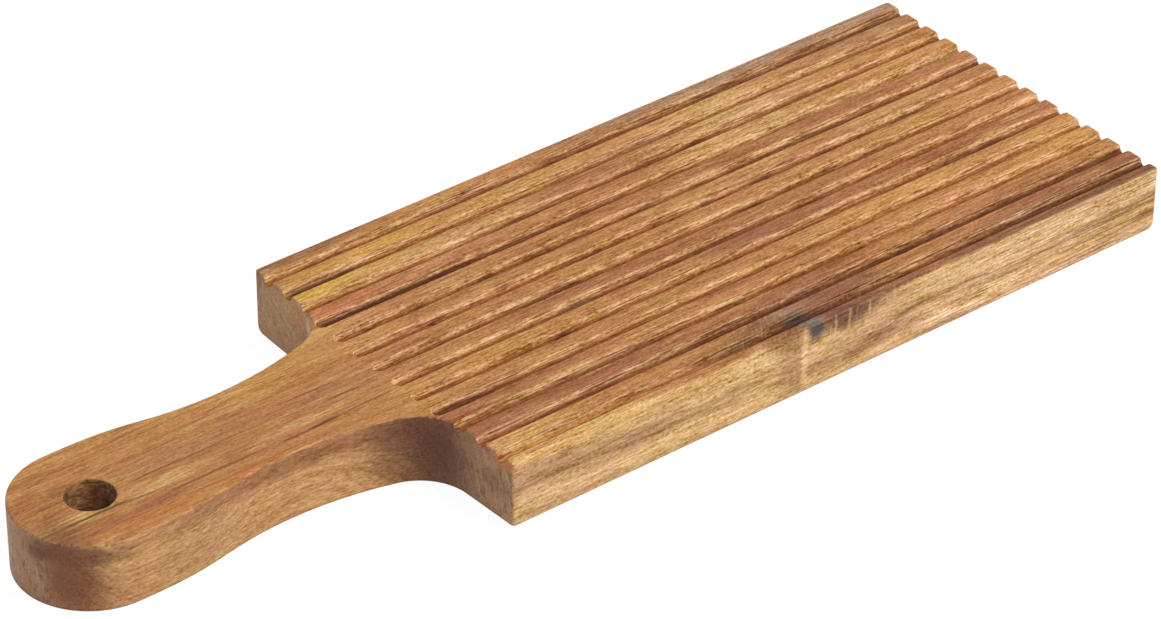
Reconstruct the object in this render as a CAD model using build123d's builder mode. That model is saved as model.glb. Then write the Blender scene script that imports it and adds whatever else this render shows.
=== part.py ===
"""Gnocchi board: one hardwood plank with a paddle handle, a hang hole and lengthwise grooves.

Millimetres, +Z up. The origin is under the middle of the whole board, on the face it rests on.
+X runs along the board to the blade's free end, so the handle points along -X.
"""

import os

from build123d import *

# Blade
blade_length = 200.0
blade_width = 100.0
board_thickness = 18.5
corner_radius = 0.8

# Handle
handle_length = 100.0
handle_offset = -0.8  # its centre line lies this far along Y from the blade's
end_radius = 18.9  # the round end, concentric with the hang hole
waist = 4.1  # how much slimmer the neck is than the round end, on each side
root_width = 45.0  # where the handle runs into the shoulders
shoulder_fillet = 14.0
hang_hole_diameter = 12.0
swell_share = 0.07  # the widest place, as a share of the way from the hole to the shoulders
neck_share = 0.54  # the narrowest place, as a share of the same way
arcs_meet_share = 0.5  # where the swell's arc turns into the neck's, between those two

# Grooves
groove_pitch = 7.51
groove_width = 3.6
groove_depth = 1.9
groove_lip = 0.3  # the worn edge where a groove meets the top face
groove_overlap = 2.3  # how far the grooves run past the shoulders, on to the handle
side_land = 2.0  # the least flat left beside the outer grooves
pattern_offset = -0.6  # the middle groove lies this far along Y from the blade's middle

# Eased edges
top_easing = 0.5
bottom_easing = 0.5
hole_easing = 0.3

cut_overrun = 1.5  # how far a cut runs past the face it opens

# Places along X, from the handle's tip to the blade's free end
free_end = (blade_length + handle_length) / 2
shoulder = free_end - blade_length
hole_centre = end_radius - free_end
handle_run = shoulder - hole_centre
swell = hole_centre + swell_share * handle_run
neck = hole_centre + neck_share * handle_run

# Half widths of the handle
neck_half = end_radius - waist
root_half = root_width / 2

# The swell and the neck are two arcs that touch on the line between their deepest points
arcs_meet = (
    swell + arcs_meet_share * (neck - swell),
    end_radius - arcs_meet_share * waist,
)

groove_radius = groove_width / 2
groove_mouth = groove_width + 2 * groove_lip
groove_count = int((blade_width - 2 * side_land - groove_mouth) / groove_pitch) + 1
groove_end_centre = shoulder - groove_overlap + groove_radius
ball_height = board_thickness - groove_depth + groove_radius
flare_half = groove_radius + groove_lip + cut_overrun


# Outline of the handle, from its round end to a little inside the blade
with BuildSketch(Plane((0, handle_offset, 0))) as handle:
    with BuildLine():
        round_end = CenterArc((hole_centre, 0), end_radius, 180, -90)
        flank = Line(round_end @ 1, (swell, end_radius))
        swell_arc = TangentArc(flank @ 1, arcs_meet, tangent=(1, 0))
        neck_arc = TangentArc(swell_arc @ 1, (neck, neck_half), tangent=swell_arc % 1)
        flare_arc = TangentArc(neck_arc @ 1, (shoulder, root_half), tangent=neck_arc % 1)
        Polyline(
            flare_arc @ 1,
            (shoulder + shoulder_fillet, root_half),
            (shoulder + shoulder_fillet, 0),
        )
        mirror(about=Plane.XZ)
    make_face()

# Outline of the whole board
with BuildSketch() as outline:
    with Locations((shoulder, 0)):
        Rectangle(blade_length, blade_width, align=(Align.MIN, Align.CENTER))
    blade_corners = outline.vertices()
    fillet(blade_corners, corner_radius)
    add(handle.sketch)
    inside_corners = outline.vertices().filter_by(
        lambda corner: abs(corner.X - shoulder) < corner_radius / 2
        and abs(corner.Y - handle_offset) < root_half + corner_radius / 2
    )
    fillet(inside_corners, shoulder_fillet)

# What one pass of a round-nosed cutter takes away, with the lip's flare
with BuildPart() as groove:
    with BuildSketch(Plane.YZ.offset(groove_end_centre)) as section:
        with Locations((0, ball_height)):
            Circle(groove_radius)
            Rectangle(groove_width, board_thickness, align=(Align.CENTER, Align.MIN))
        with BuildLine():
            Polyline(
                (0, board_thickness - groove_lip - groove_radius),
                (flare_half, board_thickness + cut_overrun),
                (-flare_half, board_thickness + cut_overrun),
                close=True,
            )
        make_face()
    extrude(amount=blade_length + cut_overrun)

    # The far side of the round end is half a turn of the same section
    with BuildSketch(Plane.YZ.offset(groove_end_centre)) as half_section:
        add(section.sketch_local)
        split(bisect_by=Plane.YZ, keep=Keep.TOP)
    revolve(axis=Axis((groove_end_centre, 0, 0), (0, 0, 1)), revolution_arc=180)

with BuildPart() as board:
    add(outline.sketch)
    extrude(amount=board_thickness)
    fillet(board.faces().sort_by(Axis.Z)[-1].edges(), top_easing)
    fillet(board.faces().sort_by(Axis.Z)[0].edges(), bottom_easing)

    with Locations((hole_centre, handle_offset, board_thickness)):
        Hole(hang_hole_diameter / 2)
    hole_rims = board.edges().filter_by(
        lambda edge: edge.geom_type == GeomType.CIRCLE
        and abs(edge.radius - hang_hole_diameter / 2) < hole_easing / 2
    )
    fillet(hole_rims, hole_easing)

    with Locations((0, pattern_offset, 0)):
        with GridLocations(0, groove_pitch, 1, groove_count):
            add(groove.part, mode=Mode.SUBTRACT)

board.part.label = "board"

os.makedirs("parts", exist_ok=True)
export_step(board.part, "parts/board.step")

print("grooves", groove_count, "overall length", blade_length + handle_length)
print("neck arc radius", round(neck_arc.radius, 1), "volume", round(board.part.volume))
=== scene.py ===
# Gnocchi board: one acacia plank with routed grooves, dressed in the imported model's frame.
# The plank is modelled in millimetres and becomes metres at the end. The handle points along -X.
import math

import bmesh
import bpy
from mathutils import Matrix, Vector, noise


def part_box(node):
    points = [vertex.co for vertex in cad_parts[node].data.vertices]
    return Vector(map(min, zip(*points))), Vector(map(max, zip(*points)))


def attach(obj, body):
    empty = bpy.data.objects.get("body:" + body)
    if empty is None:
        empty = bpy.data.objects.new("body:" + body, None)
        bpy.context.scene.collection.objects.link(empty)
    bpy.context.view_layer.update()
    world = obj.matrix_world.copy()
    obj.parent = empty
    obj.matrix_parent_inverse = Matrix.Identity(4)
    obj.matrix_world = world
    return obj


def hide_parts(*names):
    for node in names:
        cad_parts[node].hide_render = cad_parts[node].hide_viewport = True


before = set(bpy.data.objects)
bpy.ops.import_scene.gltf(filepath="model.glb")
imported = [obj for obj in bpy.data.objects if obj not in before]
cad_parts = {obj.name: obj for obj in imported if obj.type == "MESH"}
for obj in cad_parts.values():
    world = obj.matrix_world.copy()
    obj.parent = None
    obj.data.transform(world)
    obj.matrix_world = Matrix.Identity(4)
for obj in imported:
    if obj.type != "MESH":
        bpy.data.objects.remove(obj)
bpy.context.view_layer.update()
mm = 0.001
tiny = 1e-4  # millimetres: closer than this is the same place
upright = 0.5  # a face lies flat when its normal's z is past this
print("frame loaded, nodes:", ", ".join(sorted(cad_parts)))


def millimetres(box):
    return [[value / mm for value in corner] for corner in box]


plank = {  # millimetres; the overall length, width and thickness come from the frame
    "bladeLength": 200,
    "cornerRadius": 0.8,
    "endRadius": 18.9,
    "handleOffset": -0.8,
    "waist": 4.1,
    "rootWidth": 45,
    "shoulderFillet": 14,
    "holeRadius": 6,
    "swellShare": 0.07,  # widest place of the grip, from the hole to the shoulders
    "neckShare": 0.54,  # narrowest place, on the same way
    "edgeEasing": 0.5,
    "holeEasing": 0.3,
    "easingSteps": 4,
    "holeSteps": 72,
    "bladeLead": 5.1,  # the finely cut stretch starts this far before the shoulders
    "turnStep": 3,  # degrees of a round stretch for each edge
    "edgeStrip": 0.25,  # a narrow flat strip beside each eased edge keeps its shading crisp
    "endDrop": 0.6,  # how much more the far end's top edge is rounded over
    "endDropLength": 1.7,
    "cornerWear": 0.9,  # how far the blade's lower corners are knocked in
    "wornReach": 4,
    "wornHeight": 2.8,
    "wornCuts": (0.45, 0.7, 1),  # shares of that height
    "endCuts": (1, 0.75, 0.55),  # shares of the end drop's length
}

grooves = {  # millimetres
    "count": 13,
    "pitch": 7.51,
    "middle": -0.6,
    "radius": 1.8,
    "depth": 1.9,
    "lip": 0.3,  # rounding where a groove meets the top face
    "overlap": 2.3,  # how far they run past the shoulders
    "bandDepth": 4,  # only this much of the plank's top is cut finely and pressed down
    "alongStep": 0.95,
    "endStep": 0.3,
    "endLead": 0.5,  # the fine steps begin this far before the grooves do
    "endStepCount": 15,
    "wallCuts": (0, 0.35, 0.62, 0.82, 0.94, 1),  # shares of the radius
    "lipCuts": (0.12, 0.35, 0.65, 1),  # shares of the lip
    "wander": 0.13,  # how far a groove's wall strays from straight
    "wanderLength": 9,
    "chatter": 0.1,  # tear-out on the walls
    "chatterLength": 1.9,
    "chatterPeak": 1.5,  # the higher, the rarer and sharper its bites
    "apart": 7,  # keeps each groove's noise away from its neighbours'
}


# Plank's outline


def arcOn(bm, vert, centre, degrees):  # carries the outline on from vert along an arc
    steps = max(3, math.ceil(abs(degrees) / plank["turnStep"]))
    turned = bmesh.ops.spin(
        bm, geom=[vert], cent=(*centre, 0), axis=(0, 0, 1), angle=math.radians(degrees), steps=steps
    )
    return [item for item in turned["geom_last"] if isinstance(item, bmesh.types.BMVert)][0]


def lineOn(bm, vert, place):
    fresh = bmesh.ops.extrude_vert_indiv(bm, verts=[vert])["verts"][0]
    fresh.co = (*place, 0)
    return fresh


def outlineSide(bm, tip, side, low, high):  # from the handle's tip to the free end's corner
    shape = plank
    middle = shape["handleOffset"]
    holeX = low[0] + shape["endRadius"]
    shoulderX = high[0] - shape["bladeLength"]
    run = shoulderX - holeX
    swellX = holeX + shape["swellShare"] * run
    neckX = holeX + shape["neckShare"] * run
    neckHalf = shape["endRadius"] - shape["waist"]

    halfRun, halfWaist = (neckX - swellX) / 2, shape["waist"] / 2
    swellRadius = (halfRun**2 + halfWaist**2) / (2 * halfWaist)
    swellTurn = math.degrees(math.asin(halfRun / swellRadius))
    flareRun, flareRise = shoulderX - neckX, shape["rootWidth"] / 2 - neckHalf
    flareRadius = (flareRun**2 + flareRise**2) / (2 * flareRise)
    filletX = shoulderX - shape["shoulderFillet"]
    innerRadius = flareRadius - shape["shoulderFillet"]
    filletY = neckHalf + flareRadius - math.sqrt(innerRadius**2 - (filletX - neckX) ** 2)
    flareTurn = math.degrees(math.asin((filletX - neckX) / innerRadius))

    def across(distance):
        return middle + side * distance

    vert = arcOn(bm, tip, (holeX, middle), -90 * side)
    vert = lineOn(bm, vert, (swellX, across(shape["endRadius"])))
    vert = arcOn(bm, vert, (swellX, across(shape["endRadius"] - swellRadius)), -swellTurn * side)
    vert = arcOn(bm, vert, (neckX, across(neckHalf + swellRadius)), swellTurn * side)
    vert = arcOn(bm, vert, (neckX, across(neckHalf + flareRadius)), flareTurn * side)
    vert = arcOn(bm, vert, (filletX, across(filletY)), (90 - flareTurn) * side)

    corner = shape["cornerRadius"]
    sideY = high[1] if side > 0 else low[1]
    innerY = sideY - side * corner
    vert = lineOn(bm, vert, (shoulderX, innerY))
    vert = arcOn(bm, vert, (shoulderX + corner, innerY), -90 * side)
    vert = lineOn(bm, vert, (high[0] - corner, sideY))
    return arcOn(bm, vert, (high[0] - corner, innerY), -90 * side)


def facesOf(bm, test):
    return [face for face in bm.faces if test(face.calc_center_median())]


def allOf(faces):  # the faces with their edges and corners, as bisect_plane wants them
    edges = {edge for face in faces for edge in face.edges}
    verts = {vert for edge in edges for vert in edge.verts}
    return [*verts, *edges, *faces]


def sliceAt(bm, faces, axis, place):  # cuts the faces at a place and returns the pieces beyond it
    point = [0, 0, 0]
    normal = [0, 0, 0]
    point[axis] = place
    normal[axis] = 1
    cut = bmesh.ops.bisect_plane(
        bm, geom=allOf(faces), dist=tiny / 10, plane_co=point, plane_no=normal
    )
    pieces = [item for item in cut["geom"] if isinstance(item, bmesh.types.BMFace)]
    return [face for face in pieces if face.calc_center_median()[axis] > place]


def plankBlank(low, high):
    bm = bmesh.new()
    tip = bm.verts.new((low[0], plank["handleOffset"], 0))
    ends = [outlineSide(bm, tip, side, low, high) for side in (1, -1)]
    bmesh.ops.contextual_create(bm, geom=ends)
    holeCentre = Vector((low[0] + plank["endRadius"], plank["handleOffset"], 0))
    bmesh.ops.create_circle(
        bm,
        segments=plank["holeSteps"],
        radius=plank["holeRadius"],
        matrix=Matrix.Translation(holeCentre),
    )
    bmesh.ops.triangle_fill(bm, edges=bm.edges[:], use_beauty=True, normal=(0, 0, 1))

    # The filled outline becomes three plain faces: the blade, and the grip on each side of its hole
    bladeX = high[0] - plank["bladeLength"] - plank["bladeLead"]
    sliceAt(bm, bm.faces[:], 0, bladeX)
    sliceAt(bm, facesOf(bm, lambda c: c.x < bladeX), 1, plank["handleOffset"])
    for test in (
        lambda c: c.x > bladeX,
        lambda c: c.x < bladeX and c.y > plank["handleOffset"],
        lambda c: c.x < bladeX and c.y < plank["handleOffset"],
    ):
        bmesh.ops.dissolve_faces(bm, faces=facesOf(bm, test), use_verts=False)

    thickness = high[2] - low[2]
    raised = bmesh.ops.extrude_face_region(bm, geom=bm.faces[:], use_keep_orig=True)
    lifted = [item for item in raised["geom"] if isinstance(item, bmesh.types.BMVert)]
    bmesh.ops.translate(bm, verts=lifted, vec=(0, 0, thickness))
    bmesh.ops.recalc_face_normals(bm, faces=bm.faces[:])

    # Rims are the edges between a flat face and a wall
    def rims(inHole):
        def isRim(edge):
            level = [abs(face.normal.z) > upright for face in edge.link_faces]
            reach = (edge.verts[0].co - holeCentre).xy.length
            return any(level) and not all(level) and (reach < plank["holeRadius"] + 1) == inHole

        return [edge for edge in bm.edges if isRim(edge)]

    for inHole, easing in ((False, plank["edgeEasing"]), (True, plank["holeEasing"])):
        bmesh.ops.bevel(
            bm,
            geom=rims(inHole),
            offset=easing,
            offset_type="OFFSET",
            segments=plank["easingSteps"],
            profile=0.5,
            affect="EDGES",
            clamp_overlap=True,
            material=-1,
        )
    flats = facesOf(bm, lambda c: c.z < tiny or c.z > thickness - tiny)
    for side in (1, -1):
        bmesh.ops.inset_region(
            bm,
            faces=[face for face in flats if face.normal.z * side > upright],
            thickness=plank["edgeStrip"],
            use_even_offset=True,
        )
    strip = plank["edgeEasing"] + plank["edgeStrip"]
    worn = [plank["wornHeight"] * share for share in plank["wornCuts"]]
    for level in (strip, *worn, thickness - grooves["bandDepth"], thickness - strip):
        walls = [face for face in bm.faces if abs(face.normal.z) < upright]
        sliceAt(bm, walls, 2, level)
    return bm, bladeX, thickness


# Grooves


def grooveCentres():
    half = (grooves["count"] - 1) / 2
    numbers = range(grooves["count"])
    return [grooves["middle"] + (number - half) * grooves["pitch"] for number in numbers]


def sectionOffsets():  # across half a groove: closer together where its wall is steep
    radius, lip = grooves["radius"], grooves["lip"]
    onWall = [radius * share for share in grooves["wallCuts"]]
    return onWall + [radius + lip * share for share in grooves["lipCuts"]]


def sectionDepth(offset):  # a round-nosed cutter's section, with its lip eased over
    radius, lip = grooves["radius"], grooves["lip"]
    if offset >= radius + lip:
        return 0.0
    if offset > radius:
        share = (offset - radius) / lip
        return lip * (1 - math.sqrt(1 - (1 - share) ** 2))
    straight = grooves["depth"] - radius
    return straight + math.sqrt(max(radius**2 - offset**2, 0))


def grooveDepth(x, y, startX):
    across = min((y - centre for centre in grooveCentres()), key=abs)
    side = 1 if across > 0 else -1
    row = round((y - across) * grooves["apart"])
    slow = noise.noise((x / grooves["wanderLength"], row, side))
    quick = noise.noise((x / grooves["chatterLength"], row + 31, 2 * side))
    bite = max(quick, 0) ** grooves["chatterPeak"] * 2
    stray = grooves["wander"] * slow + grooves["chatter"] * bite
    past = startX + grooves["radius"] - x
    offset = math.hypot(across, past) if past > 0 else abs(across)
    return sectionDepth(offset + stray * min(1, abs(across)))


def carveGrooves(bm, bladeX, low, high, thickness):
    startX = high[0] - plank["bladeLength"] - grooves["overlap"]
    floor = thickness - grooves["bandDepth"]
    leadX = startX - grooves["endLead"]
    cuts = [leadX + step * grooves["endStep"] for step in range(grooves["endStepCount"])]
    endCuts = [high[0] - plank["endDropLength"] * share for share in plank["endCuts"]]
    run = endCuts[0] - cuts[-1]
    count = int(run / grooves["alongStep"])
    cuts += [cuts[-1] + run * step / count for step in range(1, count)]
    top = facesOf(bm, lambda c: c.z > floor and c.x > bladeX)
    for place in [*cuts, *endCuts]:
        top = sliceAt(bm, top, 0, place)
    top = facesOf(bm, lambda c: c.z > floor and c.x > bladeX)
    offsets = sectionOffsets()
    for centre in grooveCentres():
        sides = sorted({round(centre + sign * offset, 4) for offset in offsets for sign in (1, -1)})
        for place in sides:
            top = sliceAt(bm, top, 1, place)

    depthLayer = bm.verts.layers.float.new("grooveDepth")
    wallLayer = bm.verts.layers.float.new("wall")
    for vert in bm.verts:
        x, y, z = vert.co
        below = min(thickness - z, z)
        vert[wallLayer] = min(max(below / plank["edgeEasing"], 0), 1)
        if z <= floor or x < bladeX:
            continue
        depth = grooveDepth(x, y, startX)
        vert[depthLayer] = depth
        nearEnd = max(0, 1 - (high[0] - x) / plank["endDropLength"])
        sunk = depth + plank["endDrop"] * nearEnd**2
        vert.co.z = floor + (z - floor) * (1 - sunk / grooves["bandDepth"])


def wearCorners(bm, low, high):
    shoulderX = high[0] - plank["bladeLength"]
    for vert in bm.verts:
        height = 1 - vert.co.z / plank["wornHeight"]
        cornerX = min((shoulderX, high[0]), key=lambda x: abs(x - vert.co.x))
        cornerY = min((low[1], high[1]), key=lambda y: abs(y - vert.co.y))
        nearness = 1 - math.hypot(cornerX - vert.co.x, cornerY - vert.co.y) / plank["wornReach"]
        if min(height, nearness) > 0:
            shift = plank["cornerWear"] * height**2 * nearness
            vert.co.x += shift if cornerX < high[0] else -shift
            vert.co.y += shift if cornerY < 0 else -shift


def makePlank():
    low, high = millimetres(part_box("board"))
    bm, bladeX, thickness = plankBlank(low, high)
    print("blank cut:", len(bm.faces), "faces")
    carveGrooves(bm, bladeX, low, high, thickness)
    print("grooves carved:", len(bm.faces), "faces")
    wearCorners(bm, low, high)
    bmesh.ops.translate(bm, verts=bm.verts[:], vec=(0, 0, low[2]))
    bmesh.ops.scale(bm, verts=bm.verts[:], vec=(mm, mm, mm))
    bmesh.ops.recalc_face_normals(bm, faces=bm.faces[:])
    mesh = bpy.data.meshes.new("plank")
    bm.to_mesh(mesh)
    bm.free()
    mesh.shade_smooth()
    mesh.set_sharp_from_angle(angle=math.radians(60))
    board = bpy.data.objects.new("plank", mesh)
    bpy.context.scene.collection.objects.link(board)
    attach(board, "root")
    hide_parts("board")
    return board


board = makePlank()

# Wood


class Wire:  # wraps a node's socket, so that shader sums read as plain expressions
    def __init__(self, tree, socket=None):
        self.tree = tree
        self.socket = socket

    def node(self, kind, settings=None, inputs=None, output=0):
        made = self.tree.nodes.new(kind)
        for name, value in (settings or {}).items():
            setattr(made, name, value)
        for name, value in (inputs or {}).items():
            if isinstance(value, Wire):
                self.tree.links.new(value.socket, made.inputs[name])
            else:
                made.inputs[name].default_value = value
        return Wire(self.tree, made.outputs[output])

    def math(self, operation, *values):
        return self.node("ShaderNodeMath", {"operation": operation}, dict(enumerate(values)))

    def __add__(self, other):
        return self.math("ADD", self, other)

    def __sub__(self, other):
        return self.math("SUBTRACT", self, other)

    def __rsub__(self, other):
        return self.math("SUBTRACT", other, self)

    def __mul__(self, other):
        return self.math("MULTIPLY", self, other)

    def __abs__(self):
        return self.math("ABSOLUTE", self)

    __radd__ = __add__
    __rmul__ = __mul__

    def ease(self, start, end, most=1):  # 0 before start, most past end, smooth between; either way
        settings = {"interpolation_type": "SMOOTHSTEP", "clamp": False}
        return self.node("ShaderNodeMapRange", settings, {0: self, 1: start, 2: end, 4: most})

    def blend(self, share, colour, way="MIX"):  # this colour with another laid over it
        settings = {"data_type": "RGBA", "blend_type": way}
        return self.node("ShaderNodeMix", settings, {0: share, 6: self, 7: colour}, 2)

    def tinted(self, gains):  # 1 for each of red, green and blue, and more or less as this is not 0
        settings = {"operation": "MULTIPLY_ADD"}
        return self.node("ShaderNodeVectorMath", settings, {0: self, 1: gains, 2: (1, 1, 1)})

    def times(self, vector):
        return self.node("ShaderNodeVectorMath", {"operation": "MULTIPLY"}, {0: self, 1: vector})

    def parts(self):
        return [self.node("ShaderNodeSeparateXYZ", None, {0: self}, axis) for axis in range(3)]

    def away(self, place, lengths):  # 1 on an egg round the place, with those half lengths
        offset = [-middle / length for middle, length in zip(place, lengths)]
        inputs = {0: self, 1: [1 / length for length in lengths], 2: offset}
        moved = self.node("ShaderNodeVectorMath", {"operation": "MULTIPLY_ADD"}, inputs)
        return moved.node("ShaderNodeVectorMath", {"operation": "LENGTH"}, {0: moved}, 1)

    def noise(self, lengths, detail=1, bend=0):  # lengths are a feature's size along x, y, z
        spot = self.times([1 / length for length in lengths])
        inputs = {"Vector": spot, "Scale": 1, "Detail": detail, "Distortion": bend}
        return self.node("ShaderNodeTexNoise", None, inputs)


def paint(red, green, blue):  # a colour as the eye reads it, out of 255, as the shader wants it
    shares = [value / 255 for value in (red, green, blue)]
    return (*[s / 12.92 if s <= 0.04045 else ((s + 0.055) / 1.055) ** 2.4 for s in shares], 1)


wood = {
    "tones": {  # as the eye reads them, out of 255
        "straw": (212, 171, 117),
        "wheat": (201, 157, 96),
        "gold": (206, 158, 70),
        "honey": (195, 141, 78),
        "orange": (186, 118, 62),
        "amber": (180, 123, 71),
        "rose": (180, 115, 78),
        "russet": (160, 101, 63),
        "clay": (166, 123, 82),
        "brown": (140, 89, 58),
        "umber": (114, 72, 46),
        "bark": (104, 60, 32),
        "plum": (92, 53, 42),
        "ash": (166, 129, 102),
        "fawn": (180, 136, 96),
        "stone": (128, 114, 96),
        "slate": (76, 66, 62),
        "pale": (233, 187, 137),
        "cream": (240, 205, 162),
    },
    "lineTint": (0.74, 1.0, 1.6),  # how much a fibre changes red, green and blue
    "veinTint": (0.08, -0.18, 0.3),  # how much a patch turns towards yellow or red
    "growth": (0.64, 0.52, 0.43, 1),  # what is left of a colour on a growth line
    "oilAndShade": (0.5, 0.34, 0.19, 1),  # old oil and painted shade along a groove's bottom
    "split": (0.56, 0.41, 0.3, 1),  # between two torn fibres
    "drilled": (0.5, 0.45, 0.42, 1),  # and on the hang hole's wall
    "heart": (70, -35),  # y and z of the tree's heart: the growth rings run round it
    "fan": 0.006,  # how fast the streaks spread with depth, for each millimetre down
    "stainHalfWidth": 4.6,
    "bandHeight": 16,  # of the dark band along the grip
    "endAsh": 0.85,
    "tickLean": 0.6,  # how far a tick leans along x for each millimetre across
    "oilAndShadeEdge": 0.9,  # how ragged the edge of the oil and painted shade is
    "contrast": {"line": 1.2, "fibre": 1.6},
    "relief": 0.0002,  # metres
    "sheen": 0.2,
    "roughness": 0.52,
    "figure": {  # noises that follow the rings: sizes along x, across the rings and 1, then detail
        "broad": ((120, 7, 1), 2),
        "line": ((42, 1.5, 1), 2),
        "thin": ((26, 0.75, 1), 1),
        "patchy": ((24, 2.4, 1), 2),
    },
    "grain": {  # noises that follow the plank: sizes along x, y and z, then detail and bend
        "slowSway": ((95, 26, 26), 1),
        "quickSway": ((26, 7, 7), 1),
        "stray": ((7, 1.2, 1.2), 1),
        "torn": ((6, 0.9, 0.8), 2, 0.6),
        "fibre": ((12, 0.4, 0.36), 1, 0.2),
        "sawn": ((20, 1, 0.44), 1),
        "mottle": ((3, 1.6, 2.4), 2, 0.6),
        "scratch": ((0.5, 0.4, 3), 1),
        "tick": ((0.6, 3, 3), 1),
        "drilled": ((2, 2, 0.9), 2),
        "fine": ((5, 0.6, 0.6), 2),
        "speck": ((1.1, 0.42, 0.42), 1),
        "vein": ((16, 4, 4), 2),
    },
    "areas": {  # eggs in the plank: middle, then half lengths along x, y, z
        "push": ((40, -52, 20), (26, 17, 22)),
        "knot": ((44, -45, 18), (28, 12, 7)),
        "hollow": ((-60, -27, 11), (17, 12, 19)),
        "clean": ((-30, -46, 17), (70, 4, 5)),
    },
    "shifts": {  # millimetres that each of these pushes the figure aside
        "slowSway": 4,
        "quickSway": 1.4,
        "knotRings": 7,
        "knotStreaks": 3.5,
        "line": 0.8,
        "stray": 0.7,
    },
    "swayShares": {"streaks": 0.6, "sides": 0.4},
    "strays": {  # how much of the stray each kind of mark follows
        "along": 24,
        "streaks": 3,
        "lines": 0.5,
        "stains": 2,
        "sides": 1.3,
        "band": 5,
        "marks": (0.6, 1.2, 2.4),  # along x, y and z
    },
    "masks": {  # where each mask starts, where it is full, and how strong it gets if not 1
        "groove": (0.04, 0.3),  # millimetres cut away
        "wallTop": (0.04, 0.4),
        "wallFoot": (1.7, 0.6),
        "bottom": (0.8, 1.6),
        "oilAndShade": (1.42, 1.8, 0.85),
        "side": (0.5, 0.95),  # how squarely a face looks that way
        "end": (0.4, 0.97),
        "blade": (-56, -50),  # x
        "sawnFrom": (20, 100, 0.85),
        "bandFrom": (-146, -108),
        "band": (4, 1.6, 0.7),  # millimetres from the band's middle
        "footShadow": (1.2, 0.2, 0.35),  # z; painted contact shadow along the foot
        "push": (1, 0.1),  # in half lengths of an egg
        "knot": (1.1, 0.4),
        "hollow": (1.1, 0.45, 0.85),
        "clean": (1, 0.6, 0.7),
        "streak": (1, 0.35),
        "mark": (1.15, 0.4),
        "hole": (1.14, 1.05),
        "redBand": (0.52, 0.75, 0.7),  # a noise's value, which lies round a half
        "yellowBand": (0.44, 0.25, 0.5),
        "wheatPatch": (0.54, 0.72, 0.5),
        "rosePatch": (0.46, 0.28, 0.5),
        "tornAndLitWall": (0.36, 0.6, 0.6),
        "thinLine": (0.55, 0.7, 0.45),
        "line": (0.57, 0.73, 0.5),
        "sawn": (0.53, 0.61),
        "mottle": (0.5, 0.68, 0.6),
        "scratch": (0.54, 0.7, 0.25),
        "paleTick": (0.54, 0.66, 0.4),
        "darkTick": (0.47, 0.36, 0.6),
        "drilled": (0.35, 0.65),
        "paleFibreHighlight": (0.5, 0.6, 0.75),
        "split": (0.48, 0.36),
        "tear": (0.44, 0.3, 0.5),
        "rubbedAndLit": (0.42, 0.6),
    },
}

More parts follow.
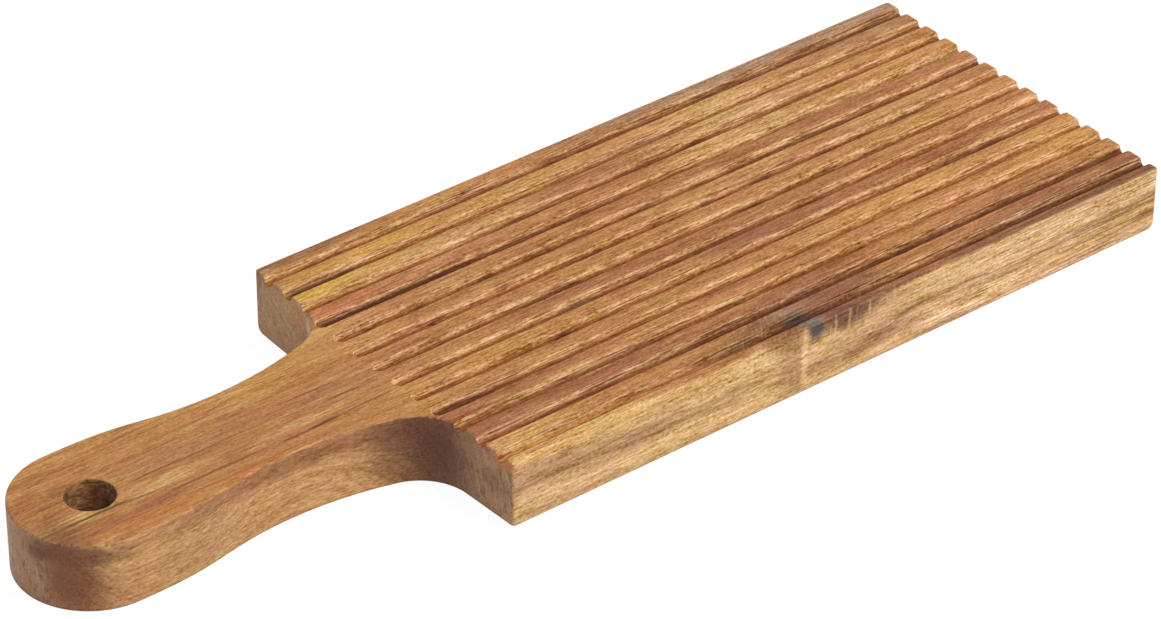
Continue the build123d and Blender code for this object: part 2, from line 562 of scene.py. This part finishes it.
# Streaks seen from above: tone, y where x is 0, slope, half width, from x, to x, strength
topStreaks = [
    ("ash", 49.0, 0, 4.6, 10, 240, 0.9),
    ("clay", 48.5, 0, 3.6, -90, -30, 0.5),
    ("brown", 49.5, 0, 3.4, -80, -2, 0.85),
    ("honey", 41.2, 0, 5.0, -170, 112, 0.85),
    ("gold", 40.4, -0.03, 2.6, -60, 4, 0.5),
    ("wheat", 41.0, 0, 4.4, 52, 116, 0.8),
    ("clay", 41.0, 0, 4.8, 92, 220, 0.6),
    ("gold", 33.0, -0.03, 5.2, -140, -4, 1.0),
    ("wheat", 33.6, 0, 4.6, -40, 30, 0.7),
    ("russet", 34.0, 0, 5.0, 14, 62, 0.6),
    ("straw", 33.4, 0, 4.8, 46, 112, 0.75),
    ("honey", 33.6, 0, 4.6, 96, 240, 0.5),
    ("rose", 25.6, 0, 4.6, -120, 36, 0.7),
    ("wheat", 25.4, 0, 5.0, 48, 110, 1.0),
    ("honey", 25.4, 0, 5.0, 90, 220, 0.8),
    ("honey", 17.6, 0, 4.8, -160, -26, 1.0),
    ("wheat", 17.8, 0, 3.8, -66, -36, 0.5),
    ("wheat", 40.8, 0, 3.6, -6, 48, 0.5),
    ("orange", 25.4, 0, 4.0, -90, -18, 0.55),
    ("honey", 3.0, 0, 3.6, 0, 24, 0.5),
    ("russet", 18.4, 0, 5.0, 10, 160, 0.75),
    ("honey", 10.4, 0, 4.2, -100, -28, 0.8),
    ("wheat", 10.6, 0, 4.2, 44, 90, 0.5),
    ("wheat", 10.6, 0, 4.0, 96, 140, 0.5),
    ("honey", 3.0, 0, 4.0, 86, 220, 0.4),
    ("russet", -4.6, 0, 5.0, -46, 116, 0.85),
    ("honey", -11.8, 0, 4.8, -80, 14, 0.8),
    ("russet", -12.2, 0, 5.0, 20, 240, 0.85),
    ("brown", -12.0, 0, 4.4, 30, 84, 0.7),
    ("honey", -20.0, 0, 4.6, 56, 118, 1.0),
    ("honey", -20.2, 0, 4.2, 90, 240, 0.6),
    ("russet", -27.4, 0, 4.8, -150, 12, 0.8),
    ("russet", -27.8, -0.1, 3.0, 32, 70, 0.8),
    ("honey", -27.6, 0, 4.8, 60, 240, 0.9),
    ("russet", -35.0, 0, 5.2, -160, 84, 1.0),
    ("russet", -35.0, 0, 5.0, 90, 136, 0.5),
    ("honey", -20.0, 0, 4.2, -90, -30, 0.4),
    ("brown", -35.4, 0, 4.0, 28, 66, 0.5),
    ("honey", -42.4, 0, 5.0, -150, 2, 1.0),
    ("wheat", -42.4, 0, 3.6, -80, -16, 0.6),
    ("brown", -43.0, 0, 5.4, 8, 80, 1.0),
    ("russet", -42.8, 0, 5.0, 82, 240, 0.95),
    ("brown", -42.8, 0, 4.4, 60, 220, 0.55),
    ("straw", -49.8, 0, 4.8, -140, 16, 1.0),
    ("gold", -49.2, 0, 3.4, -110, 12, 0.75),
    ("cream", -49.0, 0, 2.6, -70, 4, 0.2),
    ("brown", -49.8, 0, 5.2, 9, 150, 1.0),
    ("umber", -49.8, 0, 4.6, 84, 240, 0.95),
    ("russet", -1.0, 0, 8.0, -120, -88, 0.3),
    ("clay", 0.0, 0, 4.4, -128, -84, 0.5),
    ("brown", -2.0, 0, 3.4, -100, -48, 0.3),
    ("wheat", -6.8, 0, 3.0, -160, -120, 0.8),
    ("wheat", -6.4, 0, 2.8, -150, -90, 0.85),
    ("wheat", -7.4, 0, 2.4, -100, -60, 0.8),
    ("russet", -1.0, 0, 4.4, -72, -46, 0.5),
    ("orange", -15.4, 0, 3.8, -156, -70, 0.85),
    ("russet", -12.4, 0, 2.8, -156, -104, 0.7),
    ("brown", -12.4, 0, 1.4, -128, -98, 0.3),
    ("clay", -1.0, 0, 5.0, -74, -48, 0.25),
    ("brown", -3.0, 0, 2.0, -156, -132, 0.35),
    ("honey", 15.0, 0, 4.4, -156, -106, 0.5),
    ("honey", 11.0, 0, 4.6, -98, -56, 0.6),
    ("russet", 5.6, 0, 2.6, -98, -74, 0.3),
]

# Thin dark lines, the same way
thinLines = [
    ("bark", 45.4, 0, 0.6, -18, 34, 0.7),
    ("bark", 38.2, 0, 0.35, -60, -34, 0.8),
    ("bark", 40.6, 0, 0.3, -60, -38, 0.7),
    ("brown", 9.2, 0, 0.5, -10, 6, 0.7),
    ("slate", -13.2, -0.03, 1.5, 66, 82, 0.5),
    ("bark", -7.8, 0, 0.5, -156, -118, 0.9),
    ("bark", -8.3, 0, 0.5, -134, -106, 0.6),
    ("bark", -10.9, 0, 0.45, -130, -86, 0.6),
    ("bark", -9.0, 0.026, 0.6, -90, -62, 1.0),
    ("bark", -9.0, 0.026, 0.5, -70, -46, 0.7),
    ("bark", -2.6, 0, 0.4, -126, -94, 0.7),
    ("bark", 1.0, 0, 0.35, -82, -54, 0.75),
    ("bark", -4.2, 0, 0.35, -74, -54, 0.7),
    ("brown", 4.6, 0, 0.45, -128, -96, 0.7),
    ("bark", 0.8, 0, 0.35, -152, -136, 0.7),
    ("brown", -2.6, 0, 0.4, -150, -136, 0.6),
    ("brown", -5.2, 0, 0.4, -152, -136, 0.8),
    ("brown", -6.4, 0, 0.3, -150, -136, 0.6),
    ("brown", 7.6, 0, 0.35, -112, -78, 0.6),
    ("brown", -14.6, 0, 0.4, -120, -84, 0.6),
]

# Stains low in each groove, counted from the back: tone, from x, to x, strength
lowStains = {
    1: [("honey", -80, 4, 0.4), ("russet", 4, 34, 0.3), ("brown", 66, 240, 0.55)],
    2: [("brown", 116, 200, 0.6), ("umber", -76, -14, 0.75), ("bark", -40, -28, 0.4)],
    3: [
        ("brown", 74, 132, 0.5),
        ("honey", -80, -30, 1.0),
        ("brown", 2, 30, 0.7),
        ("brown", 40, 74, 0.7),
    ],
    4: [
        ("umber", -140, 24, 1.0),
        ("bark", -90, 10, 0.8),
        ("brown", -10, 50, 0.8),
        ("straw", 40, 180, 0.45),
    ],
    5: [
        ("orange", -66, -24, 0.4),
        ("bark", -52, -42, 0.5),
        ("bark", -33, -24, 0.3),
        ("umber", 34, 52, 0.5),
        ("umber", 116, 200, 0.6),
        ("bark", -16, -6, 0.5),
        ("umber", -2, 12, 0.2),
        ("umber", 50, 140, 0.45),
    ],
    6: [
        ("bark", -30, -24, 0.9),
        ("bark", 12, 22, 0.6),
        ("umber", 52, 62, 0.8),
        ("umber", 66, 80, 0.7),
        ("bark", 88, 96, 0.3),
        ("bark", 113, 122, 0.6),
        ("honey", 116, 240, 0.5),
    ],
    7: [("bark", -12, 14, 0.5), ("brown", 50, 118, 0.4)],
    8: [
        ("brown", 8, 72, 0.6),
        ("slate", -8, 14, 0.5),
        ("bark", 36, 52, 0.3),
        ("umber", 70, 88, 0.5),
    ],
    9: [
        ("bark", -14, -4, 0.7),
        ("honey", 54, 88, 0.6),
        ("brown", 100, 140, 0.8),
        ("bark", 122, 134, 0.6),
    ],
    10: [
        ("umber", -100, -14, 0.65),
        ("bark", -52, -28, 0.6),
        ("honey", 56, 84, 0.6),
        ("honey", 108, 240, 0.6),
    ],
    11: [("brown", -34, 24, 0.5), ("bark", 28, 36, 0.7), ("wheat", 66, 104, 0.7)],
    12: [("umber", -10, 240, 0.6)],
    13: [("honey", -90, 10, 0.8), ("umber", 100, 160, 0.4)],
}

# Torn, pale stretches high on the walls, the same way
paleStains = {
    1: [("clay", -14, 26, 0.7)],
    2: [
        ("pale", -26, 0, 0.4),
        ("pale", 22, 38, 0.6),
        ("clay", -80, -30, 0.5),
        ("clay", 56, 92, 0.5),
    ],
    3: [
        ("pale", -60, -24, 0.4),
        ("pale", 0, 14, 0.6),
        ("clay", 24, 48, 0.6),
        ("clay", 68, 96, 0.45),
        ("pale", 98, 240, 0.4),
    ],
    4: [("pale", 60, 74, 0.5), ("cream", 76, 112, 1.0), ("cream", 114, 142, 1.0)],
    5: [
        ("clay", 22, 60, 0.4),
        ("clay", 128, 200, 1.0),
        ("pale", -66, -22, 0.9),
        ("pale", 0, 14, 0.6),
        ("pale", 72, 96, 0.5),
    ],
    6: [
        ("pale", -70, -34, 0.5),
        ("pale", -12, 50, 0.5),
        ("pale", 60, 84, 0.7),
        ("cream", 96, 140, 0.8),
    ],
    7: [("pale", -38, -10, 0.7), ("pale", 10, 36, 0.9), ("pale", 72, 138, 0.9)],
    8: [("clay", 50, 70, 0.4), ("pale", -70, -36, 0.7), ("pale", 98, 200, 0.8)],
    9: [("pale", -80, 2, 0.9), ("pale", 36, 46, 0.8), ("pale", 60, 82, 0.6)],
    10: [("pale", 0, 12, 0.5), ("pale", 60, 82, 0.5), ("pale", 104, 200, 0.9)],
    11: [("pale", -66, -34, 0.9), ("pale", 84, 108, 0.9)],
    12: [("clay", -52, -20, 0.8), ("clay", -12, 14, 0.8), ("clay", 34, 48, 0.8)],
    13: [("brown", 66, 110, 0.7), ("pale", -50, -14, 0.6)],
}

# Stains from lip to bottom, the same way
wallStains = {
    1: [("brown", -90, 240, 0.35), ("brown", 84, 240, 0.4)],
    2: [("clay", 34, 80, 0.6), ("straw", 76, 180, 0.4), ("clay", 128, 240, 0.6)],
    3: [("honey", -80, -30, 0.4)],
    4: [("russet", -140, 30, 0.5), ("straw", 52, 200, 0.9)],
    6: [("straw", 98, 150, 0.5)],
    8: [("wheat", 98, 240, 0.35)],
    10: [("wheat", 108, 240, 0.35)],
    11: [("clay", -60, 30, 0.35)],
    12: [("brown", -60, 200, 0.5), ("umber", 4, 48, 0.4)],
    13: [("russet", -60, 36, 0.5), ("umber", 2, 60, 0.7), ("umber", 50, 240, 0.75)],
}

# Streaks on the blade's long sides, the same way, with the height in place of y
sideStreaks = [
    ("gold", 16.6, -0.01, 2.2, -64, 26, 0.35),
    ("cream", 14.6, 0, 3.6, 60, 240, 0.5),
    ("cream", 4.6, 0, 3.0, 66, 112, 1.0),
    ("cream", 9.6, 0, 1.6, 78, 104, 0.7),
    ("cream", 2.4, 0, 1.6, 116, 240, 0.5),
    ("gold", 15.8, 0, 2.0, -4, 28, 0.3),
    ("cream", 14.4, 0, 2.4, -4, 28, 0.5),
    ("cream", 8.4, 0, 2.6, 58, 80, 0.4),
    ("cream", 9.4, 0, 1.6, 114, 140, 0.6),
    ("cream", 2.0, 0, 1.8, 112, 142, 0.7),
    ("fawn", 1.4, 0, 1.4, 72, 100, 0.9),
    ("fawn", 17.0, 0, 1.6, -76, -34, 0.4),
    ("fawn", 7.0, 0, 1.8, -70, -34, 0.4),
    ("fawn", 5.0, 0, 8.0, -190, -92, 0.6),
    ("fawn", 13.6, 0, 3.0, -76, -18, 0.85),
    ("fawn", 9.6, -0.045, 3.6, -100, 36, 1.0),
    ("clay", 11.2, 0, 1.6, -26, 4, 0.6),
    ("clay", 7.6, 0, 1.0, -34, 6, 0.4),
    ("brown", 8.8, -0.02, 0.6, -28, 14, 0.5),
    ("brown", 10.6, -0.02, 0.4, -26, -2, 0.4),
    ("brown", 10.0, 0, 0.5, -54, -28, 0.45),
    ("clay", 10.2, 0, 1.2, 8, 24, 0.5),
    ("brown", 12.2, 0, 0.4, -50, -36, 0.4),
    ("fawn", 6.0, 0, 3.6, 22, 80, 0.85),
    ("fawn", 10.0, 0, 3.4, 40, 66, 0.6),
    ("clay", -12.4, 0.32, 2.2, 44, 80, 0.6),
    ("brown", -11.4, 0.32, 0.7, 44, 76, 0.65),
    ("fawn", 10.2, 0, 2.6, 58, 86, 0.4),
    ("fawn", 17.2, -0.08, 1.6, 70, 110, 0.5),
    ("brown", 17.8, -0.08, 0.45, 72, 102, 0.7),
    ("brown", 15.8, -0.08, 0.35, 76, 106, 0.6),
    ("fawn", 10.2, 0, 3.2, 96, 240, 0.65),
    ("brown", 15.2, 0, 0.35, -40, -22, 0.4),
    ("brown", 12.2, -0.01, 0.4, 108, 158, 0.6),
    ("brown", 10.8, -0.01, 0.4, 104, 150, 0.55),
    ("brown", 8.9, 0, 0.45, 92, 150, 0.6),
    ("brown", 7.6, 0, 0.3, 80, 128, 0.5),
    ("brown", 6.2, 0, 0.4, 104, 158, 0.65),
    ("brown", 4.8, 0, 0.35, 122, 160, 0.65),
    ("brown", 3.2, 0, 0.4, 96, 158, 0.55),
    ("brown", 1.9, 0, 0.4, 104, 158, 0.5),
    ("fawn", 2.2, 0, 1.4, -70, 0, 0.6),
    ("brown", 2.5, 0, 0.4, -56, -32, 0.5),
    ("brown", 18.9, 0, 1.4, 94, 240, 0.8),
]

# Marks that no streak makes, most of them near the knot: tone, place, half lengths, strength
marks = [
    ("brown", (46, -43, 18.5), (26, 8, 4), 0.6),
    ("brown", (50, -41.6, 18.5), (16, 4, 4), 0.5),
    ("russet", (54, -34, 18.5), (11, 3, 2), 0.6),
    ("ash", (38, -42, 18.5), (9, 2.4, 1.6), 0.6),
    ("umber", (51, -37.8, 17.4), (13, 1.6, 3), 0.5),
    ("umber", (42, -46, 17.6), (20, 3.4, 3), 0.75),
    ("brown", (52, -48.6, 18.5), (16, 2.4, 2.4), 0.7),
    ("brown", (32, -50.3, 19), (9, 2.6, 6), 0.7),
    ("umber", (51, -50.3, 18.6), (13, 2.6, 6.4), 0.85),
    ("plum", (49, -50.3, 17.4), (11, 1.6, 4.6), 0.5),
    ("clay", (33, -50.3, 8), (6, 1.6, 10), 0.6),
    ("slate", (38.4, -45, 17.8), (4.4, 2.6, 3), 0.85),
    ("stone", (39.8, -48.4, 18.5), (4.4, 1.8, 1.6), 0.9),
    ("slate", (40.2, -50.2, 17.6), (3.2, 1.3, 4.6), 1.0),
    ("pale", (36.6, -50.6, 9), (1.4, 1.4, 15), 0.75),
    ("straw", (46, -50.6, 16), (0.6, 1.2, 4.2), 0.6),
    ("straw", (44.4, -50.6, 15), (0.5, 1.0, 3), 0.3),
    ("straw", (50.4, -50.6, 15.4), (0.8, 1.2, 5), 0.5),
    ("straw", (52.6, -50.6, 16), (0.5, 1.0, 4), 0.3),
    ("straw", (56.6, -50.6, 16.4), (0.6, 1.2, 3.4), 0.7),
    ("umber", (-50, -44, 9.6), (3, 7, 4.4), 0.4),
    ("straw", (-50, 41, 8), (3, 12, 13), 0.35),
    ("ash", (-50.6, -34, 14.6), (3, 6, 5), 0.55),
    ("clay", (-112, -18, 7), (16, 8, 10), 0.4),
    ("orange", (-50, -46, 17), (2, 6, 2.2), 0.7),
    ("straw", (-51.4, 33, 15.4), (4, 7, 5), 0.7),
    ("straw", (-55, 26, 14.4), (8, 6, 5), 0.4),
    ("orange", (-51.4, 32, 14.6), (4, 6, 5), 0.4),
    ("pale", (-50, 27.8, 13.4), (1.6, 1.4, 3.6), 0.7),
    ("umber", (-145, -12, 15.6), (9, 13, 4.2), 0.9),
    ("brown", (-144, -14, 7), (8, 9, 12), 0.75),
    ("umber", (-145, -13, 9), (6, 8, 9), 0.5),
    ("plum", (-138, -18, 15), (8, 4, 2.6), 0.5),
    ("plum", (-149, -6, 13.6), (3, 3, 2.4), 0.6),
    ("umber", (-135.4, 4, 16), (4, 4, 6), 0.4),
]


def streaked(colour, along, across, streaks):  # long tapering marks, laid one over the other
    leaning = {}
    for tone, place, slope, halfWidth, fromX, toX, strength in streaks:
        if slope not in leaning:
            level = across - along * slope if slope else across
            inputs = {0: along, 1: level, 2: 0}
            leaning[slope] = across.node("ShaderNodeCombineXYZ", None, inputs)
        middle, halfLength = (fromX + toX) / 2, (toX - fromX) / 2
        away = leaning[slope].away((middle, place, 0), (halfLength, halfWidth, 1))
        share = away.ease(*wood["masks"]["streak"], strength)
        colour = colour.blend(share, paint(*wood["tones"][tone]))
    return colour


def stained(colour, along, y, stains):
    grooveY = [None, *reversed(grooveCentres())]  # the first groove is the one at the back
    placed = [
        (tone, grooveY[number], 0, wood["stainHalfWidth"], fromX, toX, strength)
        for number, rows in stains.items()
        for tone, fromX, toX, strength in rows
    ]
    return streaked(colour, along, y, placed)


def woodMaterial():
    material = bpy.data.materials.new("oiledAcacia")
    material.use_nodes = True
    tree = material.node_tree
    tree.nodes.clear()
    start = Wire(tree)
    tones = {name: paint(*values) for name, values in wood["tones"].items()}
    masks = wood["masks"]
    spot = start.node("ShaderNodeTexCoord", output=3).times([1 / mm] * 3)
    x, y, z = spot.parts()
    low, high = millimetres(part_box("board"))

    def grain(name):
        return spot.noise(*wood["grain"][name])

    def within(name):  # 1 in the middle of a named egg, 0 outside it
        return spot.away(*wood["areas"][name]).ease(*masks[name])

    def flat(tone):  # a colour to lay others over
        sheet = start.node("ShaderNodeRGB")
        sheet.socket.default_value = tones[tone]
        return sheet

    # Where a point lies: cut away, on a side, on an end, on the blade
    facing = start.node("ShaderNodeTexCoord", output=1).parts()
    carved = start.node("ShaderNodeAttribute", {"attribute_name": "grooveDepth"}, output=2)
    wall = start.node("ShaderNodeAttribute", {"attribute_name": "wall"}, output=2)
    onTop = 1 - wall
    inGroove = carved.ease(*masks["groove"]) * onTop
    upWall = carved.ease(*masks["wallTop"]) * carved.ease(*masks["wallFoot"]) * onTop
    inBottom = carved.ease(*masks["bottom"]) * onTop
    onSide = abs(facing[1]).ease(*masks["side"]) * wall
    onEnd = abs(facing[0]).ease(*masks["end"]) * wall
    onBlade = x.ease(*masks["blade"])

    # The knot pushes the figure aside, and the rings sway along the tree
    knotPush = within("push")
    shifts, strays = wood["shifts"], wood["strays"]
    slow, quick = ((grain(name) - 0.5) * shifts[name] for name in ("slowSway", "quickSway"))
    sway = slow + quick
    heartY, heartZ = wood["heart"]
    fromHeart = spot.node("ShaderNodeCombineXYZ", None, {0: 0, 1: y - heartY, 2: z - heartZ})
    ring = fromHeart.node("ShaderNodeVectorMath", {"operation": "LENGTH"}, {0: fromHeart}, 1)
    ring = ring + sway + knotPush * shifts["knotRings"]
    rings = spot.node("ShaderNodeCombineXYZ", None, {0: x, 1: ring, 2: 0})
    broad, line, thin, patchy = (rings.noise(*sizes) for sizes in wood["figure"].values())
    stray = (line - 0.5) * shifts["line"] + (grain("stray") - 0.5) * shifts["stray"]
    fanned = y * ((high[2] - z) * wood["fan"] + 1)
    across = fanned + sway * wood["swayShares"]["streaks"] - knotPush * shifts["knotStreaks"]
    along = x + stray * strays["along"]

    # Heartwood, with its bands and streaks
    colour = flat("amber").blend(broad.ease(*masks["redBand"]), tones["russet"])
    colour = colour.blend(broad.ease(*masks["yellowBand"]), tones["honey"])
    colour = streaked(colour, along, across + stray * strays["streaks"], topStreaks)
    colour = colour.blend(patchy.ease(*masks["wheatPatch"]), tones["wheat"])
    colour = colour.blend(patchy.ease(*masks["rosePatch"]), tones["rose"])
    colour = streaked(colour, along, across + stray * strays["lines"], thinLines)

    # Groove walls are paler where the cutter tore them, with painted light over their upper part,
    # and each groove has its own stains
    torn = grain("torn")
    knotty = within("knot")
    # painted light over the whole upper wall, stronger where the wall is torn
    bright = torn.ease(*masks["tornAndLitWall"]) + (1 - masks["tornAndLitWall"][2])
    colour = colour.blend(upWall * (1 - knotty * 0.7) * bright, tones["pale"])
    besides = y + stray * strays["stains"]
    for where, stains in ((upWall, paleStains), (inGroove, wallStains), (inBottom, lowStains)):
        colour = colour.blend(where, stained(colour, along, besides, stains))

    # Sapwood on the blade's long sides, less of it on the grip's
    height = z + sway * wood["swayShares"]["sides"] + stray * strays["sides"]
    sapwood = streaked(flat("straw"), along, height, sideStreaks)
    colour = colour.blend(onSide * (onBlade * 0.45 + 0.5), sapwood)

    # Growth lines, and closer ones on the long sides towards the free end
    lines = thin.ease(*masks["thinLine"]) + line.ease(*masks["line"])
    sawn = grain("sawn").ease(*masks["sawn"]) * onSide * x.ease(*masks["sawnFrom"])
    colour = colour.blend(lines + sawn, wood["growth"], "MULTIPLY")

    # A dark band runs along the grip's sides, under the top edge
    fromBand = abs(z - wood["bandHeight"] + stray * strays["band"])
    band = fromBand.ease(*masks["band"]) * x.ease(*masks["bandFrom"]) * wall * (1 - onBlade)
    colour = colour.blend(band, tones["brown"])

    # End grain is greyer and mottled, with pale scratches from sanding
    colour = colour.blend(onEnd * wood["endAsh"], tones["ash"])
    mottle = grain("mottle").ease(*masks["mottle"])
    colour = colour.blend(onEnd * mottle, tones["umber"])
    scratch = grain("scratch").ease(*masks["scratch"])
    colour = colour.blend(onEnd * scratch, tones["pale"])

    # Round the knot the fibres stand across the board
    leaning = spot.node("ShaderNodeCombineXYZ", None, {0: x - y * wood["tickLean"], 1: y, 2: z})
    tick = leaning.noise(*wood["grain"]["tick"])
    colour = colour.blend(knotty * tick.ease(*masks["paleTick"]), tones["pale"])
    colour = colour.blend(knotty * tick.ease(*masks["darkTick"]), tones["umber"])

    # The front shoulder's hollow is dark, and then come the knot and the other marks
    shaken = {axis: part + stray * strays["marks"][axis] for axis, part in enumerate((x, y, z))}
    near = spot.node("ShaderNodeCombineXYZ", None, shaken)
    hollow = near.away(*wood["areas"]["hollow"]).ease(*masks["hollow"])
    colour = colour.blend(hollow * wall, tones["plum"])
    for tone, place, lengths, strength in marks:
        share = near.away(place, lengths).ease(*masks["mark"], strength)
        colour = colour.blend(share, tones[tone])

    # Hang hole
    holePlace = (low[0] + plank["endRadius"], plank["handleOffset"], 0)
    fromHole = spot.away(holePlace, (plank["holeRadius"], plank["holeRadius"], 1 / tiny))
    inHole = fromHole.ease(*masks["hole"]) * wall
    drilled = grain("drilled").ease(*masks["drilled"])
    colour = colour.blend(inHole * drilled, wood["drilled"], "MULTIPLY")

    # Grooves: torn pale fibres up their walls with a painted highlight, old oil and painted shade
    # along the bottom
    fibre = grain("fibre")
    # pale torn fibres, partly a painted highlight high on the walls
    fibreHighlight = upWall * fibre.ease(*masks["paleFibreHighlight"]) * (1 - knotty * 0.6)
    colour = colour.blend(fibreHighlight, tones["pale"])
    colour = colour.blend(inGroove * fibre.ease(*masks["split"]), wood["split"], "MULTIPLY")
    colour = colour.blend(inGroove * torn.ease(*masks["tear"]), wood["split"], "MULTIPLY")
    # old oil plus painted shade darken the groove's bottom, where the groove's own shade falls
    uneven = carved + (fibre + torn - 1) * wood["oilAndShadeEdge"]
    oilAndShaded = uneven.ease(*masks["oilAndShade"]) * onTop * (1 - within("clean"))
    colour = colour.blend(oilAndShaded, wood["oilAndShade"], "MULTIPLY")

    # Fibres, pores and patches
    fine, speck, vein = grain("fine"), grain("speck"), grain("vein")
    contrast = wood["contrast"]
    fibres = (line - 0.5) * contrast["line"] + (fine + speck - 1) * contrast["fibre"]
    calm = (1 - onEnd * 0.5) * (onBlade * 0.25 + 0.8)  # less on end grain and on the handle
    colour = colour.times((fibres * calm).tinted(wood["lineTint"]))
    colour = colour.times((vein - 0.5).tinted(wood["veinTint"]))

    # The foot of the sides gets painted contact shadow, and the eased edges are rubbed pale with a
    # painted highlight
    colour = colour.blend(z.ease(*masks["footShadow"]), tones["umber"])
    # pale rubbed wear on the eased edges, partly a painted edge highlight
    rubbedAndLit = wall * onTop * 4 * fine.ease(*masks["rubbedAndLit"])
    colour = colour.blend(rubbedAndLit * (onEnd * 0.3 + 0.12), tones["pale"])

    relief = fine * 0.5 + speck * 0.5 + torn * inGroove * 1.2
    raised = {"Strength": 0.4, "Distance": wood["relief"], "Height": relief}
    finish = {
        "Base Color": colour,
        "Roughness": wood["roughness"] + (fine - 0.5) * 0.3 + inGroove * 0.3,
        "Normal": start.node("ShaderNodeBump", None, raised),
        "Specular IOR Level": wood["sheen"],
    }
    surface = start.node("ShaderNodeBsdfPrincipled", None, finish)
    out = tree.nodes.new("ShaderNodeOutputMaterial")
    tree.links.new(surface.socket, out.inputs["Surface"])
    print("wood material:", len(tree.nodes), "nodes")
    return material


board.data.materials.append(woodMaterial())


# Stage and light

stage = {
    "floorHalf": 4.0,
    "floorTone": (0.93, 0.93, 0.93, 1),
    "glow": 1.1,  # how bright the floor looks by itself to the camera
    "glowShare": 0.85,  # and how much of its look that is: the rest takes the shadow
    "white": (1, 1, 1, 1),
    "skyLevel": 0.5,
    "lampPower": 20,
    "lampSize": 0.8,
    "lampPlace": (0.62, -0.85, 1.35),
}


def cameraSees(wire):  # 1 for a ray from the camera, or off or through a shiny piece
    seen = wire.node("ShaderNodeLightPath", output=0)
    for output in (3, 6):
        seen = seen.math("MAXIMUM", seen, wire.node("ShaderNodeLightPath", output=output))
    return seen


def makeFloor():
    bm = bmesh.new()
    bmesh.ops.create_grid(bm, x_segments=1, y_segments=1, size=stage["floorHalf"])
    mesh = bpy.data.meshes.new("floor")
    bm.to_mesh(mesh)
    bm.free()
    floor = bpy.data.objects.new("floor", mesh)
    bpy.context.scene.collection.objects.link(floor)
    material = bpy.data.materials.new("paleFloor")
    material.use_nodes = True
    tree = material.node_tree
    tree.nodes.clear()
    start = Wire(tree)
    matt = start.node("ShaderNodeBsdfDiffuse", None, {"Color": stage["floorTone"]})
    shine = {"Color": stage["white"], "Strength": stage["glow"]}
    glow = start.node("ShaderNodeEmission", None, shine)
    share = cameraSees(start) * stage["glowShare"]
    mixed = start.node("ShaderNodeMixShader", None, {0: share, 1: matt, 2: glow})
    out = tree.nodes.new("ShaderNodeOutputMaterial")
    tree.links.new(mixed.socket, out.inputs["Surface"])
    mesh.materials.append(material)


def makeSky():
    world = bpy.data.worlds.new("sky")
    bpy.context.scene.world = world
    world.use_nodes = True
    tree = world.node_tree
    tree.nodes.clear()
    start = Wire(tree)
    level = cameraSees(start) * (1 - stage["skyLevel"]) + stage["skyLevel"]
    shine = {"Color": stage["white"], "Strength": level}
    glow = start.node("ShaderNodeBackground", None, shine)
    out = tree.nodes.new("ShaderNodeOutputWorld")
    tree.links.new(glow.socket, out.inputs["Surface"])


def makeLamp(name, power, size, place):
    data = bpy.data.lights.new(name, "AREA")
    data.energy = power
    data.shape = "DISK"
    data.size = size
    lamp = bpy.data.objects.new(name, data)
    turn = Vector(place).to_track_quat("Z", "Y").to_matrix().to_4x4()
    lamp.matrix_world = Matrix.Translation(place) @ turn
    bpy.context.scene.collection.objects.link(lamp)


makeFloor()
makeSky()
makeLamp("softbox", stage["lampPower"], stage["lampSize"], stage["lampPlace"])
print("stage and lights placed")

# Camera, where the photograph was taken from

cameraView = {
    "azimuth": -38.4384,  # degrees, round from straight in front
    "elevation": 34.393,
    "roll": 0.1306,
    "distance": 1.22188,
    "aim": (0.00032, -0.01113, 0.0185),
    "lens": 161.37,
}


def makeCamera():
    azimuth = math.radians(cameraView["azimuth"])
    elevation = math.radians(cameraView["elevation"])
    back = Vector((math.sin(azimuth), -math.cos(azimuth), math.tan(elevation))).normalized()
    turn = back.to_track_quat("Z", "Y").to_matrix()
    turn = turn @ Matrix.Rotation(math.radians(cameraView["roll"]), 3, "Z")
    data = bpy.data.cameras.new("photoCamera")
    data.lens = cameraView["lens"]
    data.sensor_fit = "HORIZONTAL"
    camera = bpy.data.objects.new("photoCamera", data)
    place = Vector(cameraView["aim"]) + back * cameraView["distance"]
    camera.matrix_world = Matrix.Translation(place) @ turn.to_4x4()
    bpy.context.scene.collection.objects.link(camera)
    bpy.context.scene.camera = camera


makeCamera()
bpy.context.scene.view_settings.view_transform = "Standard"
print("camera placed")
